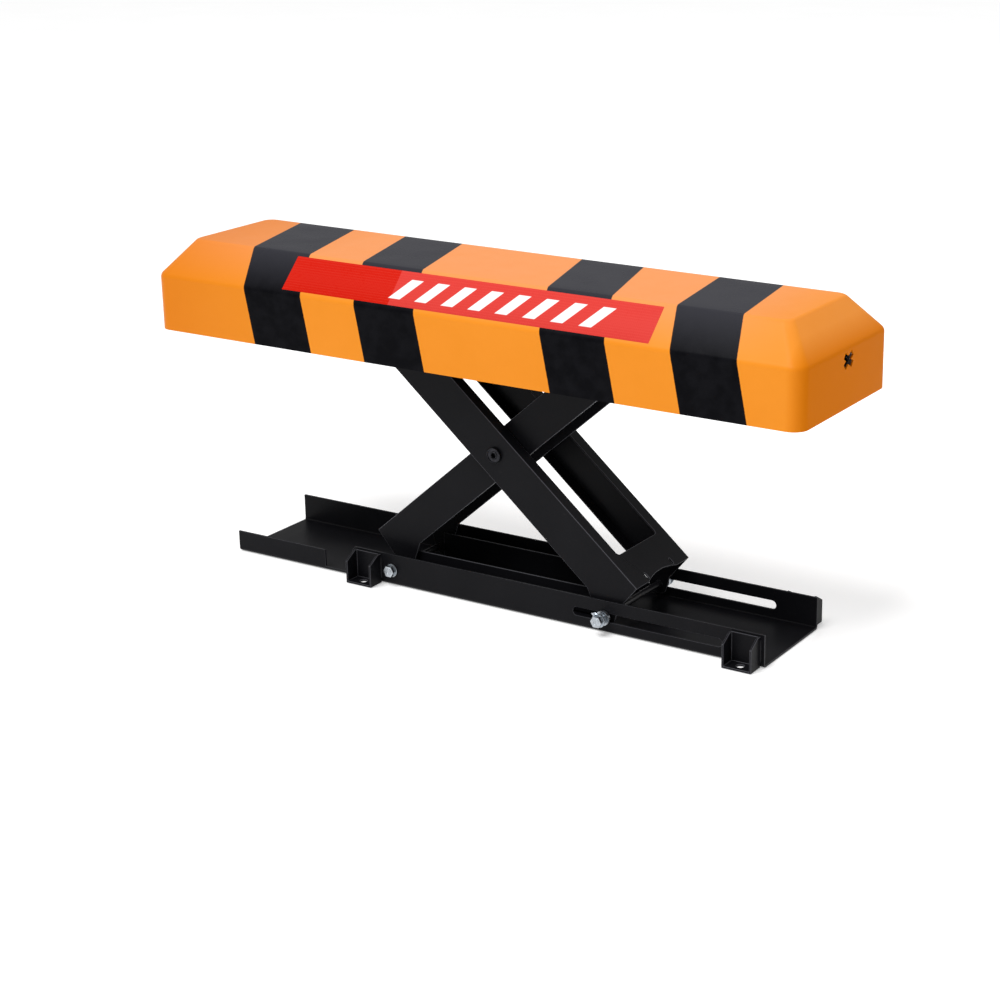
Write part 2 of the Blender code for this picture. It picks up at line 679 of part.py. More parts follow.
def motor_pieces():
    """The geared motor in line with the screw, held to the tray by its saddle."""
    motor_rings = ((13.0, MOTOR_LEFT), (17.5, MOTOR_LEFT + 2), (18.5, MOTOR_LEFT + 5), (18.5, MOTOR_RIGHT))
    motor = painted(at(turned("motor", along_x, motor_rings), z=SCREW_Z), motor_metal())
    start = MOTOR_RIGHT + FACE_GAP
    box_rings = (
        (19.0, start),
        (19.0, GEARBOX_RIGHT - 3),
        (17.5, GEARBOX_RIGHT),
        (7.0, GEARBOX_RIGHT + 0.5),
        (7.0, GEARBOX_RIGHT + 3.0),
    )
    gearbox = painted(at(turned("gearbox", along_x, box_rings), z=SCREW_Z), alloy())
    x, top = MOTOR_RIGHT + 20, RAIL_TOP - SHEET - FACE_GAP
    saddle = box("motor_saddle", (x, -27, 351.5), (x + 18, 27, top))
    cut(saddle, prism("seat", circle(0, SCREW_Z, 19.0 + FACE_GAP), x - 5, x + 25, along_x))
    cut(saddle, box("split", (x - 5, -4, SCREW_Z), (x + 25, 4, top + 5)))
    return [motor, gearbox, painted(saddle, alloy())]


def screw_pieces():
    """The lead screw and the coupling that turns it."""
    left, right = GEARBOX_RIGHT + 8.0, RAIL_RIGHT + 9.0
    teeth = []
    pitch, start, end = 14.0, -140.0, RAIL_RIGHT - 3.0
    x = start
    while x + pitch < end:
        teeth += [(SCREW_RADIUS, x), (SCREW_RADIUS, x + 0.65 * pitch)]
        teeth += [(SCREW_RADIUS - 0.7, x + 0.75 * pitch), (SCREW_RADIUS - 0.7, x + 0.9 * pitch)]
        x += pitch
    rings = [(SCREW_RADIUS - 1, left), (SCREW_RADIUS - 1, start - 1)] + teeth
    rings += [(SCREW_RADIUS - 0.7, x), (SCREW_RADIUS - 1, x + 1), (SCREW_RADIUS - 1, right)]
    screw = painted(at(turned("lead_screw", along_x, rings, 20), z=SCREW_Z), bright_steel())
    bore = SCREW_RADIUS - 1 + RUN_GAP
    coupling = ring("screw_coupling", 11.0, bore, GEARBOX_RIGHT + 4.5, COUPLING_RIGHT, along_x)
    return [screw, painted(at(coupling, z=SCREW_Z), alloy())]


def bearing_block(name, x, bore):
    """A plate under the rail's plate that holds one end of the screw."""
    top = RAIL_TOP - SHEET - FACE_GAP
    block = prism(name, rounded_box(-16, 16, SCREW_Z - 13, top, 3.0), x, x + 12, along_x)
    return painted(cut(block, prism("bore", circle(0, SCREW_Z, bore + RUN_GAP), x - 5, x + 17, along_x)), alloy())


LOCK_FACE = COVER_LENGTH / 2 - COVER_SHEET - 3.5


def lock_housing():
    """The lock's body behind the keyhole, with the bracket that fixes it inside the cover's end."""
    end = LOCK_FACE
    body = prism("lock_housing", circle(0, 0, 17.0), end - 24, end, along_x, smooth=True)
    add(body, box("flange", (end - 4, -24, -12), (COVER_LENGTH / 2 - COVER_SHEET - FACE_GAP, 24, 12)))
    cut(body, prism("bore", circle(0, 0, 13.6), end - 30, end + 15, along_x))
    return painted(at(body, y=LOCK_Y, z=LOCK_Z), alloy())


def lock_plug_pieces():
    """The plug that the key turns, with its cross-shaped socket, and the cam on its tail."""
    end = LOCK_FACE
    plug = prism("lock_plug", circle(0, 0, 13.5), end - 24, end - 1, along_x, smooth=True)
    add(plug, prism("tail", hexagon(0, 0, 10.0), end - 32, end - 23, along_x))
    for lean in (-KEY_LEAN, KEY_LEAN):
        cut(plug, prism("socket", key_bar(0, 0, 10.5, 3.4, lean), end - 14, end + 5, along_x))
    cam_outline = (
        arc(0, 0, 9.0, 180, 360, 8) + [(9.0, 6.0), (7.0, 34.0), (-7.0, 34.0), (-9.0, 6.0)]
    )
    cam = prism("lock_cam", cam_outline, end - 30.5, end - 27.5, along_x)
    cut(cam, prism("square", hexagon(0, 0, 10.4), end - 40, end - 20, along_x))
    for piece, paint in ((plug, zinc()), (cam, zinc())):
        painted(at(piece, y=LOCK_Y, z=LOCK_Z), paint)
    return [plug, cam]


def lock_keeper():
    """The hooked strip under the rail's plate, whose toe lies over the cam and so holds the cover down."""
    top = RAIL_TOP - SHEET - FACE_GAP
    keeper = box("lock_keeper", (378, -14, top - 2.5), (404, 20, top))
    add(keeper, box("stem", (401.5, -14, 387.5), (404, 20, top - 1)))
    add(keeper, box("toe", (401.5, -14, 387.5), (420, 20, 390)))
    return painted(keeper, zinc())


def cover_hook():
    """The clip inside the cover's left end that hooks under the rail's plate."""
    wall = -COVER_LENGTH / 2 + COVER_SHEET + FACE_GAP
    hook = box("cover_hook", (wall, -20, 340), (wall + 2.5, 20, 362))
    toe_top = RAIL_TOP - SHEET - FACE_GAP
    add(hook, box("arm", (wall + 1, -20, 359.5), (-413.0, 20, 362)))
    add(hook, box("riser", (-415.5, -20, 360.5), (-413.0, 20, toe_top)))
    add(hook, box("toe", (-414.5, -20, toe_top - 2.5), (-405.0, 20, toe_top)))
    return painted(hook, zinc())


# ---- drive yoke -----------------------------------------------------------------------------------------
def yoke_pieces():
    """The nut on the screw and the rod under it that pulls the inner arm along the rail's slots."""
    x, z = UPPER_SLIDER.x, UPPER_SLIDER.z
    half = BASE_WIDTH / 2
    block = prism("drive_nut", rounded_box(-14, 14, z - 9, SCREW_Z + 11, 3.0), x - 11, x + 11, along_x)
    cut(block, prism("screw_bore", circle(0, SCREW_Z, SCREW_RADIUS + RUN_GAP), x - 20, x + 20, along_x))
    cut(block, prism("rod_bore", circle(x, z, ROD_RADIUS + RUN_GAP), -20, 20, along_y))
    washer_end = half + 2.6
    rod = hex_bolt("drive_rod", UPPER_SLIDER, -washer_end - FACE_GAP, washer_end + 10.0)
    pieces = [painted(block, brass()), rod]
    for side, label in ((-1, "front"), (1, "rear")):
        low, high = sorted((side * (half + 1.0), side * washer_end))
        pieces.append(ring(f"drive_rod_washer_{label}", 8.5, ROD_RADIUS + RUN_GAP, low, high, along_y))
    nut_start = washer_end + FACE_GAP
    pieces.append(nut("drive_rod_nut", 13.0, ROD_RADIUS + RUN_GAP, nut_start, nut_start + 6.5, along_y))
    for piece in pieces[2:]:
        at(piece, x, 0, z)
        painted(piece, zinc())
    return pieces


def main():
    for obj in list(bpy.data.objects):
        bpy.data.objects.remove(obj)

    base = joint_empty("base_frame", Vector((0, 0, 0)))
    pieces = [base_channel(), inner_guide_channel()]
    for label, side in (("front", -1), ("rear", 1)):
        pieces.append(anchor_bracket(f"anchor_bracket_{label}_left", -165.5, side))
        pieces.append(anchor_bracket(f"anchor_bracket_{label}_right", 366.0, side))
    ride(base, pieces + fixed_pivot_pieces())

    inner_joint = joint_empty("inner_arm_joint", FIXED_PIVOT)
    arm = inner_arm()
    arm.matrix_world = Matrix.Translation(CENTRE * MM) @ Matrix.Rotation(-ARM_ANGLE, 4, "Y")
    ride(inner_joint, [arm])

    outer_joint = joint_empty("outer_arm_joint", CENTRE)
    arm = outer_arm()
    arm.matrix_world = Matrix.Translation(CENTRE * MM) @ Matrix.Rotation(ARM_ANGLE, 4, "Y")
    bolts = centre_pivot_pieces(-1, "front") + centre_pivot_pieces(1, "rear")
    ride(outer_joint, [arm] + bolts + slider_pieces())

    head_joint = joint_empty("head_joint", UPPER_PIVOT)
    pieces = [cover_shell(), top_rail(), equipment_tray(), lock_housing(), lock_keeper(), cover_hook()]
    pieces += upper_pivot_pieces() + battery_pieces() + controller_pieces() + motor_pieces()
    pieces.append(bearing_block("screw_bearing_left", RAIL_LEFT - 14, SCREW_RADIUS - 1))
    pieces.append(bearing_block("screw_bearing_right", RAIL_RIGHT - 1, SCREW_RADIUS - 1))
    ride(head_joint, pieces)

    ride(joint_empty("drive_joint", UPPER_SLIDER), yoke_pieces())
    ride(joint_empty("screw_joint", Vector((0, 0, SCREW_Z))), screw_pieces())
    ride(joint_empty("lock_joint", Vector((COVER_LENGTH / 2, LOCK_Y, LOCK_Z))), lock_plug_pieces())


main()
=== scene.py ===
"""Looks of the folding parking lock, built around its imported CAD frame.

Units are metres, in the frame's own axes: +X along the bar, +Y to the back, +Z up.
"""

import json
import math

import bmesh
import bpy
from mathutils import Matrix, Vector


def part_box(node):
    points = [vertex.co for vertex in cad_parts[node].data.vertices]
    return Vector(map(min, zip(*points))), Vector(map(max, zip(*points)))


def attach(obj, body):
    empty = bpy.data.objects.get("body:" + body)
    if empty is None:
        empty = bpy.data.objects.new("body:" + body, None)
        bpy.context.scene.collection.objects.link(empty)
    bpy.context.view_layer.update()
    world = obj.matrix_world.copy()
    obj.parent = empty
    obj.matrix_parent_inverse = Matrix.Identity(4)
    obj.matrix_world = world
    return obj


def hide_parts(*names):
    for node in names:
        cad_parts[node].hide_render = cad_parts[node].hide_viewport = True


MM = 0.001

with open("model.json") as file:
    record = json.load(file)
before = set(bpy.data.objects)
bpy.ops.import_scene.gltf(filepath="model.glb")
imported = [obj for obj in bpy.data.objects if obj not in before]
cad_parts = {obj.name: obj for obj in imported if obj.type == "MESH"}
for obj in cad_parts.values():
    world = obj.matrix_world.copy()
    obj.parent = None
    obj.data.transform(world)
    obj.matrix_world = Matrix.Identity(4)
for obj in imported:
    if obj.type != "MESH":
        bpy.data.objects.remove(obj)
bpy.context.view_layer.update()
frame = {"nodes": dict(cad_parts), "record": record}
nodes = frame["nodes"]


def joint(name):
    """Where a joint's axis passes, at rest."""
    found = [j for j in frame["record"]["behaviour"]["joints"] if j["name"] == name]
    return Vector(found[0]["pos_m"])


# ---- places, read from the frame ------------------------------------------------------------------------
cover_low, cover_high = (Vector(corner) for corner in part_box("cover_shell"))
channel_low, channel_high = (Vector(corner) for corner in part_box("base_channel"))
FIXED = joint("lift")
CENTRE = joint("scissor_centre")
SLIDER = Vector((2 * CENTRE.x - FIXED.x, 0.0, FIXED.z))
KEY = joint("lock_turn")

SHOULDER = cover_low.z + 69.5 * MM
END_RUN, SIDE_RUN = 34.0 * MM, 38.0 * MM
SKIN = 2.0 * MM
CORNER, LEAST_CORNER = 18.0 * MM, 6.0 * MM
CORNER_TAPER = 0.16  # the bar's corners tighten as they lean in
SHOULDER_BEND, TOP_BEND = 9.5 * MM, 7.5 * MM
KEY_TURN = 34.0  # degrees, the lean of each bar of the keyhole
KEY_BAR = (30.0 * MM, 24.0 * MM, 8.2 * MM)
ARM_LEAN = 40.6  # degrees
ARM_DEPTH, ARM_INNER_HALF = 52.8, 59.5  # mm
RISE = cover_high.z - SHOULDER


# ---- materials ------------------------------------------------------------------------------------------
class Nodes:
    """A short way to write a material's node tree."""

    def __init__(self, name):
        self.material = bpy.data.materials.new(name)
        self.material.use_nodes = True
        self.tree = self.material.node_tree
        self.shader = self.tree.nodes["Principled BSDF"]
        self.place = self.new("ShaderNodeTexCoord").outputs["Object"]

    def new(self, kind, **settings):
        node = self.tree.nodes.new(kind)
        for key, value in settings.items():
            setattr(node, key, value)
        return node

    def feed(self, socket, value):
        """Links an output to a socket, or sets a constant on it."""
        if hasattr(value, "is_output"):
            self.tree.links.new(value, socket)
        elif hasattr(socket.default_value, "__len__") and len(value) == 3 and len(socket.default_value) == 4:
            socket.default_value = (*value, 1.0)
        else:
            socket.default_value = value

    def math(self, operation, *values):
        node = self.new("ShaderNodeMath", operation=operation)
        for socket, value in zip(node.inputs, values):
            self.feed(socket, value)
        return node.outputs[0]

    def axes(self):
        """The place on the object, as X, Y and Z outputs."""
        node = self.new("ShaderNodeSeparateXYZ")
        self.feed(node.inputs[0], self.place)
        return node.outputs

    def noise(self, scale, detail=3.0, roughness=0.55, stretch=None):
        node = self.new("ShaderNodeTexNoise")
        place = self.place
        if stretch:
            mapping = self.new("ShaderNodeMapping")
            mapping.inputs["Scale"].default_value = stretch
            self.feed(mapping.inputs["Vector"], place)
            place = mapping.outputs[0]
        self.feed(node.inputs["Vector"], place)
        node.inputs["Scale"].default_value = scale
        node.inputs["Detail"].default_value = detail
        node.inputs["Roughness"].default_value = roughness
        return node.outputs["Fac"]

    def spread(self, value, low, high, to_low, to_high):
        """A value carried from one range to another, and held at its ends."""
        node = self.new("ShaderNodeMapRange")
        for socket, number in zip(node.inputs, (value, low, high, to_low, to_high)):
            self.feed(socket, number)
        return node.outputs["Result"]

    def mix(self, factor, first, second):
        node = self.new("ShaderNodeMix", data_type="RGBA")
        self.feed(node.inputs["Factor"], factor)
        self.feed(node.inputs[6], first)
        self.feed(node.inputs[7], second)
        return node.outputs[2]

    def bump(self, height, strength, distance):
        node = self.new("ShaderNodeBump")
        node.inputs["Strength"].default_value = strength
        node.inputs["Distance"].default_value = distance
        self.feed(node.inputs["Height"], height)
        self.feed(self.shader.inputs["Normal"], node.outputs[0])

    def set(self, **values):
        """Feeds the shader's sockets by name."""
        for key, value in values.items():
            self.feed(self.shader.inputs[key.replace("_", " ")], value)
        return self.material


def coated_steel(name, colour, roughness, grain=1400.0, scuffs=0.25):
    """Powder coat: a fine orange-peel grain, slow changes of gloss and a few pale scuffs."""
    m = Nodes(name)
    lift = tuple(min(c * 1.5 + 0.002, 1.0) for c in colour)
    cloudy = m.noise(14.0, 4.0)
    scuff = m.spread(m.noise(160.0, 5.0, 0.7, (0.35, 1.0, 1.0)), 0.66, 0.74, 0.0, scuffs)
    tint = m.mix(m.spread(cloudy, 0.3, 0.7, 0.0, 0.5), colour, lift)
    dusty = tuple(min(c + 0.03, 1.0) for c in colour)
    m.set(Base_Color=m.mix(scuff, tint, dusty))
    m.set(Roughness=m.spread(cloudy, 0.3, 0.7, roughness - 0.05, roughness + 0.07))
    m.set(Specular_IOR_Level=0.3, IOR=1.22)
    m.bump(m.noise(grain, 2.0), 0.12, 0.0002)
    return m.material


def plated_steel(name, colour, roughness, brushed=None):
    """Metal with soft blotches in its gloss and a very fine grain."""
    m = Nodes(name)
    blotch = m.noise(220.0, 4.0)
    dark = tuple(c * 0.72 for c in colour)
    m.set(Base_Color=m.mix(m.spread(blotch, 0.35, 0.7, 0.0, 1.0), colour, dark), Metallic=1.0)
    m.set(Roughness=m.spread(blotch, 0.3, 0.7, roughness - 0.06, roughness + 0.12))
    m.bump(m.noise(2600.0, 2.0, 0.5, brushed), 0.06, 0.0001)
    return m.material


ROD_BARE_FROM = 66.2 * MM  # just outside the base's flanges


def rod_finish():
    """Zinc where a rod shows outside the channels, black coat on its middle."""
    m = Nodes("rod_finish")
    y = m.math("ABSOLUTE", m.axes()[1])
    bare = m.spread(y, ROD_BARE_FROM, ROD_BARE_FROM + 0.001, 0.0, 1.0)
    blotch = m.spread(m.noise(220.0, 4.0), 0.35, 0.7, 0.0, 1.0)
    zinc = m.mix(blotch, (0.54, 0.58, 0.62), (0.36, 0.385, 0.41))
    m.set(Base_Color=m.mix(bare, (0.011, 0.011, 0.013), zinc), Metallic=bare)
    m.set(Roughness=m.spread(bare, 0.0, 1.0, 0.42, 0.25))
    m.bump(m.noise(2600.0, 2.0), 0.06, 0.0001)
    return m.material


def moulded(name, colour, roughness, grain=1800.0):
    """Moulded plastic or lacquer with a fine texture."""
    m = Nodes(name)
    pale = tuple(min(c * 1.25 + 0.004, 1.0) for c in colour)
    m.set(Base_Color=m.mix(m.spread(m.noise(45.0), 0.35, 0.65, 0.0, 1.0), colour, pale))
    m.set(Roughness=m.spread(m.noise(300.0), 0.3, 0.7, roughness - 0.05, roughness + 0.08))
    m.bump(m.noise(grain, 2.0), 0.2, 0.0002)
    return m.material


ORANGE = (0.76, 0.243, 0.015)
STRIPE_BLACK = (0.0035, 0.0035, 0.0045)
STRIPES = ((-307, -220), (-140, -53), (121, 206.5), (289.5, 372))  # along X at the front shoulder, mm
WALL_LEAN, SLOPE_LEAN, TOP_LEAN = 13.4 * MM, 12.1 * MM, 44.0 * MM  # how far a stripe leans on each face
LAST_STRIPE_LESS = 0.43  # the right-hand stripe crosses the top with less lean
LAST_STRIPE_FROM = (0.245, 0.19)  # X that parts it from its neighbour, at the top's front and back edges
REAR_LEAN_SHARE = 1.2
STRIPE_EDGE, STRIPE_RAGGED = 0.4 * MM, 0.6 * MM


def girth_shift(m):
    """X, Z, and how far a stripe has leaned along X since the foot of the bar's front wall."""
    x, y, z = tuple(m.axes())
    top_half = cover_high.y - SIDE_RUN
    rear = m.math("GREATER_THAN", y, 0.0)
    up = m.spread(z, cover_low.z, SHOULDER, 0.0, WALL_LEAN)
    slope = m.spread(z, SHOULDER, cover_high.z, 0.0, SLOPE_LEAN)
    climb = m.math("ADD", up, slope)
    whole = WALL_LEAN + SLOPE_LEAN
    on_front = m.math("MULTIPLY", climb, m.math("SUBTRACT", 1.0, rear))
    front = m.math("ADD", on_front, m.math("MULTIPLY", rear, whole))
    over = m.spread(y, -top_half, top_half, 0.0, TOP_LEAN)
    last_stripe = m.math("GREATER_THAN", x, m.spread(y, -top_half, top_half, *LAST_STRIPE_FROM))
    fewer = m.math("SUBTRACT", 1.0, m.math("MULTIPLY", last_stripe, LAST_STRIPE_LESS))
    down = m.math("MULTIPLY", m.math("SUBTRACT", whole, climb), REAR_LEAN_SHARE)
    back = m.math("MULTIPLY", rear, down)
    return x, z, m.math("ADD", m.math("ADD", front, m.math("MULTIPLY", over, fewer)), back)


def striped_paint():
    """Orange enamel with four black slanted stripes, which lie round the bar like film."""
    m = Nodes("striped_enamel")
    x, z, lean = girth_shift(m)
    along = m.math("ADD", x, lean)
    ragged = m.math("MULTIPLY", m.math("SUBTRACT", m.noise(420.0, 2.0), 0.5), STRIPE_RAGGED)
    along = m.math("ADD", along, ragged)
    total = 0.0
    for start, stop in STRIPES:
        low, high = start * MM + WALL_LEAN, stop * MM + WALL_LEAN
        inside = m.math(
            "MULTIPLY",
            m.spread(along, low - STRIPE_EDGE, low + STRIPE_EDGE, 0.0, 1.0),
            m.spread(along, high - STRIPE_EDGE, high + STRIPE_EDGE, 1.0, 0.0),
        )
        total = m.math("ADD", total, inside)
    cloudy = m.noise(9.0, 3.0)
    orange = m.mix(m.spread(cloudy, 0.3, 0.7, 0.0, 1.0), ORANGE, (0.79, 0.260, 0.020))
    black = m.mix(m.spread(m.noise(60.0), 0.4, 0.65, 0.0, 1.0), STRIPE_BLACK, (0.006, 0.006, 0.0075))
    top_sheen = m.spread(z, SHOULDER, cover_high.z, 0.0, 1.0)  # painted sheen: the slope and top are painted paler towards the top, where the light falls
    # Both the black stripes and the orange get this painted sheen; on the orange it fades towards the right
    # end.
    black = m.mix(top_sheen, black, (0.033, 0.033, 0.040))
    pale = m.math("MULTIPLY", top_sheen, m.spread(x, 0.31, 0.42, 1.0, 0.15))
    orange = m.mix(pale, orange, (0.80, 0.285, 0.085))
    end = m.spread(x, 0.430, 0.4495, 0.0, 1.0)  # painted shade: the right end face turns from the light, so it is painted a deeper orange
    # Painted shade also darkens the left part of the bar, deepest at its left end.
    painted_end_shade = m.math("MAXIMUM", end, m.spread(x, -0.45, -0.22, 0.75, 0.0))
    orange = m.mix(painted_end_shade, orange, (0.65, 0.172, 0.003))
    m.set(Base_Color=m.mix(total, orange, black))
    gloss = m.spread(total, 0.0, 1.0, 0.34, 0.25)
    m.set(Roughness=m.math("ADD", gloss, m.spread(m.noise(24.0, 4.0), 0.3, 0.7, -0.03, 0.05)))
    peel = m.math("MULTIPLY", m.noise(520.0, 2.0), 0.5)
    m.bump(m.math("ADD", peel, m.math("MULTIPLY", total, 1.5)), 0.16, 0.0003)
    shine = m.math("MULTIPLY", m.spread(total, 0.0, 1.0, 0.8, 0.2), m.spread(end, 0.0, 1.0, 1.0, 0.1))
    m.set(Specular_IOR_Level=shine, IOR=1.13)
    return m.material


BAND_CHANGE = -92.0 * MM  # X where the band's darker run ends
BAR_START, BAR_PITCH, BAR_COUNT = -108.0 * MM, 37.5 * MM, 7.8
BAR_SLANT = -1.1
BAR_MARGIN, BAR_EDGE = 10.5 * MM, 0.7 * MM  # from the slope's two edges, in height


def reflective_band():
    """Red retroreflective film: a darker run at the left, a fine honeycomb and white slanted bars."""
    m = Nodes("reflective_band")
    x, _, z = tuple(m.axes())
    cell = m.new("ShaderNodeTexVoronoi", feature="DISTANCE_TO_EDGE")
    m.feed(cell.inputs["Vector"], m.place)
    cell.inputs["Scale"].default_value = 420.0
    cell.inputs["Randomness"].default_value = 0.15
    web = m.spread(cell.outputs["Distance"], 0.02, 0.09, 1.0, 0.0)
    left = m.spread(x, BAND_CHANGE - 0.0005, BAND_CHANGE + 0.0005, 1.0, 0.0)
    red = m.mix(left, (0.62, 0.043, 0.035), (0.55, 0.009, 0.002))
    red = m.mix(m.math("MULTIPLY", web, 0.14), red, (0.92, 0.16, 0.12))
    slant = m.math("ADD", x, m.math("MULTIPLY", m.math("SUBTRACT", z, SHOULDER), BAR_SLANT))
    slant = m.math("SUBTRACT", slant, BAR_START)
    wave = m.math("FRACT", m.math("DIVIDE", slant, BAR_PITCH))
    bars = m.math("MULTIPLY", m.spread(wave, 0.02, 0.035, 0.0, 1.0), m.spread(wave, 0.46, 0.475, 1.0, 0.0))
    low, high = SHOULDER + BAR_MARGIN, cover_high.z - BAR_MARGIN
    above = m.spread(z, low, low + BAR_EDGE, 0.0, 1.0)
    below = m.spread(z, high - BAR_EDGE, high, 1.0, 0.0)
    height = m.math("MULTIPLY", above, below)
    begun = m.math("GREATER_THAN", slant, 0.0)
    reach = m.math("MULTIPLY", begun, m.math("LESS_THAN", slant, BAR_COUNT * BAR_PITCH))
    white = m.math("MULTIPLY", bars, m.math("MULTIPLY", height, reach))
    m.set(Base_Color=m.mix(white, red, (0.86, 0.86, 0.85)))
    m.set(Roughness=m.spread(m.noise(90.0), 0.3, 0.7, 0.26, 0.36), Specular_IOR_Level=0.3, IOR=1.15)
    m.bump(m.math("ADD", m.math("MULTIPLY", web, 0.5), white), 0.15, 0.0002)
    return m.material


def circuit_material():
    """Green solder mask with paler copper runs under it."""
    m = Nodes("circuit_green")
    runs = m.new("ShaderNodeTexBrick")
    m.feed(runs.inputs["Vector"], m.place)
    runs.inputs["Scale"].default_value = 160.0
    runs.inputs["Mortar Size"].default_value = 0.06
    m.set(Base_Color=m.mix(runs.outputs["Fac"], (0.008, 0.11, 0.035), (0.05, 0.24, 0.08)), Roughness=0.3)
    m.bump(runs.outputs["Fac"], 0.2, 0.0001)
    return m.material


ENAMEL = striped_paint()
BAND = reflective_band()
BLACK_COAT = coated_steel("black_powder_coat", (0.0050, 0.0050, 0.0062), 0.36)
# Painted highlight: a paler black for the rounded edges, standing in for the thin catch-lights along the
# bends.
EDGE_HIGHLIGHT = coated_steel("black_coat_edge_highlight", (0.060, 0.060, 0.068), 0.3)
INNER_COAT = coated_steel("cover_inside_coat", (0.30, 0.10, 0.02), 0.55, 900.0, 0.1)
ZINC = plated_steel("zinc_plate", (0.52, 0.56, 0.60), 0.28)
BLACK_OXIDE = plated_steel("black_oxide", (0.035, 0.035, 0.04), 0.36)
ROD = rod_finish()
SCREW_STEEL = plated_steel("rolled_steel", (0.50, 0.50, 0.52), 0.28, (0.1, 1.0, 1.0))
MOTOR_STEEL = plated_steel("drawn_steel", (0.30, 0.31, 0.33), 0.33, (1.0, 0.1, 0.1))
ALLOY = plated_steel("cast_alloy", (0.60, 0.61, 0.63), 0.42)
BRASS = plated_steel("brass", (0.72, 0.50, 0.20), 0.26)
GREY = moulded("grey_moulding", (0.17, 0.175, 0.18), 0.5)
BLACK_PLASTIC = moulded("black_moulding", (0.012, 0.012, 0.013), 0.45)
WRAP = moulded("cell_wrap", (0.03, 0.09, 0.28), 0.3, 700.0)
WELD = coated_steel("weld_coat", (0.012, 0.012, 0.014), 0.34, 700.0, 0.1)
CIRCUIT = circuit_material()

SLOT_LOOKS = {
    "orange_paint": ENAMEL,
    "black_coat": BLACK_COAT,
    "zinc_plate": ZINC,
    "bright_steel": SCREW_STEEL,
    "motor_steel": MOTOR_STEEL,
    "alloy": ALLOY,
    "brass": BRASS,
    "grey_plastic": GREY,
    "black_plastic": BLACK_PLASTIC,
    "board_green": CIRCUIT,
    "cell_wrap": WRAP,
}


# ---- the CAD nodes: their finish, and the small radius that bent and cut plate has -----------------------
def soften(obj, width, segments=2):
    """Rounds the hard edges with modifiers, after welding the mesh and joining its flat triangles."""
    weld = obj.modifiers.new("weld", "WELD")
    weld.merge_threshold = 0.000002
    flat = obj.modifiers.new("flat", "DECIMATE")
    flat.decimate_type = "DISSOLVE"
    flat.angle_limit = math.radians(0.4)
    edge = obj.modifiers.new("edge", "BEVEL")
    edge.width = width
    edge.segments = segments
    edge.limit_method = "ANGLE"
    edge.angle_limit = math.radians(38)
    # The bevel's faces take the second slot, which holds the painted edge highlight where there is one.
    if len(obj.data.materials) > 1:
        edge.material = 1
    # On the arms a clamp, set by their smallest slits, would leave the long bends sharp.
    edge.use_clamp_overlap = obj.name not in ("inner_arm", "outer_arm")


EDGE_WIDTH = {  # mm
    "base_channel": 0.7, "inner_guide_channel": 0.6, "inner_arm": 0.7, "outer_arm": 0.7, "top_rail": 0.6,
    "equipment_tray": 0.5, "battery_case": 0.6, "battery_lid": 0.6, "controller_case": 0.6, "drive_nut": 0.8,
    "motor_saddle": 0.8, "screw_bearing_left": 0.8, "screw_bearing_right": 0.8, "lock_housing": 0.6,
    "lock_keeper": 0.4, "cover_hook": 0.4, "lock_cam": 0.3, "gearbox": 0.4, "screw_coupling": 0.5,
}
NOT_SOFTENED = ("cover_shell", "cell", "motor", "circuit", "aerial", "screw")
finish_of = {part["node"]: part["material_slot"] for part in frame["record"]["subparts"]}


def look_of(name):
    """A node's finish: the one of its slot, or the one that the photo shows."""
    if name.startswith("centre_pivot_bolt"):
        return BLACK_OXIDE
    if name in ("slider_bolt", "fixed_pivot_bolt"):
        return ROD
    # The lock plug gets the black coat as painted shade, so that the keyhole looks dark inside.
    if name == "lock_plug" or name.startswith("fixed_pivot_spacer"):
        return BLACK_COAT
    return SLOT_LOOKS[finish_of[name]]


def edge_width_of(name):
    """How far a node's edges are rounded, in mm, or None."""
    if name in EDGE_WIDTH:
        return EDGE_WIDTH[name]
    if any(word in name for word in NOT_SOFTENED):
        return None
    return 0.6 if name.startswith("anchor_bracket") else 0.35


for name, obj in nodes.items():
    look = look_of(name)
    obj.data.materials.clear()
    obj.data.materials.append(look)
    width = edge_width_of(name)
    if width:
        # Black-coated parts get the paler painted highlight on their rounded edges.
        if look == BLACK_COAT:
            obj.data.materials.append(EDGE_HIGHLIGHT)
        soften(obj, width * MM)


# ---- pieces made here -----------------------------------------------------------------------------------
def piece(name, made, looks, body, smooth=35.0):
    """A bmesh, in the frame's own place, becomes a piece that rides on a body."""
    bmesh.ops.recalc_face_normals(made, faces=made.faces)
    mesh = bpy.data.meshes.new(name)
    made.to_mesh(mesh)
    made.free()
    mesh.shade_smooth()
    mesh.set_sharp_from_angle(angle=math.radians(smooth))
    obj = bpy.data.objects.new(name, mesh)
    for look in looks:
        mesh.materials.append(look)
    bpy.context.scene.collection.objects.link(obj)
    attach(obj, body)
    return obj


def rounded_ring(made, half_x, half_y, radius, z, steps=8):
    """Points round a rectangle with round corners."""
    points = []
    for cx, cy, first in ((1, -1, -90), (1, 1, 0), (-1, 1, 90), (-1, -1, 180)):
        for i in range(steps + 1):
            angle = math.radians(first + 90 * i / steps)
            x = cx * (half_x - radius) + radius * math.cos(angle)
            y = cy * (half_y - radius) + radius * math.sin(angle)
            points.append(made.verts.new((x, y, z)))
    return points


def fillet(before, corner, after, radius, steps=6):
    """Points on the arc that rounds a corner of a section line."""
    a = (before - corner).normalized()
    b = (after - corner).normalized()
    half = a.angle(b) / 2
    along = radius / math.tan(half)
    middle = corner + (a + b).normalized() * (radius / math.sin(half))
    start, end = corner + a * along - middle, corner + b * along - middle
    turn = start.angle(end)
    return [middle + (start * math.sin(turn * (1 - t)) + end * math.sin(turn * t)) / math.sin(turn)
            for t in (i / steps for i in range(steps + 1))]


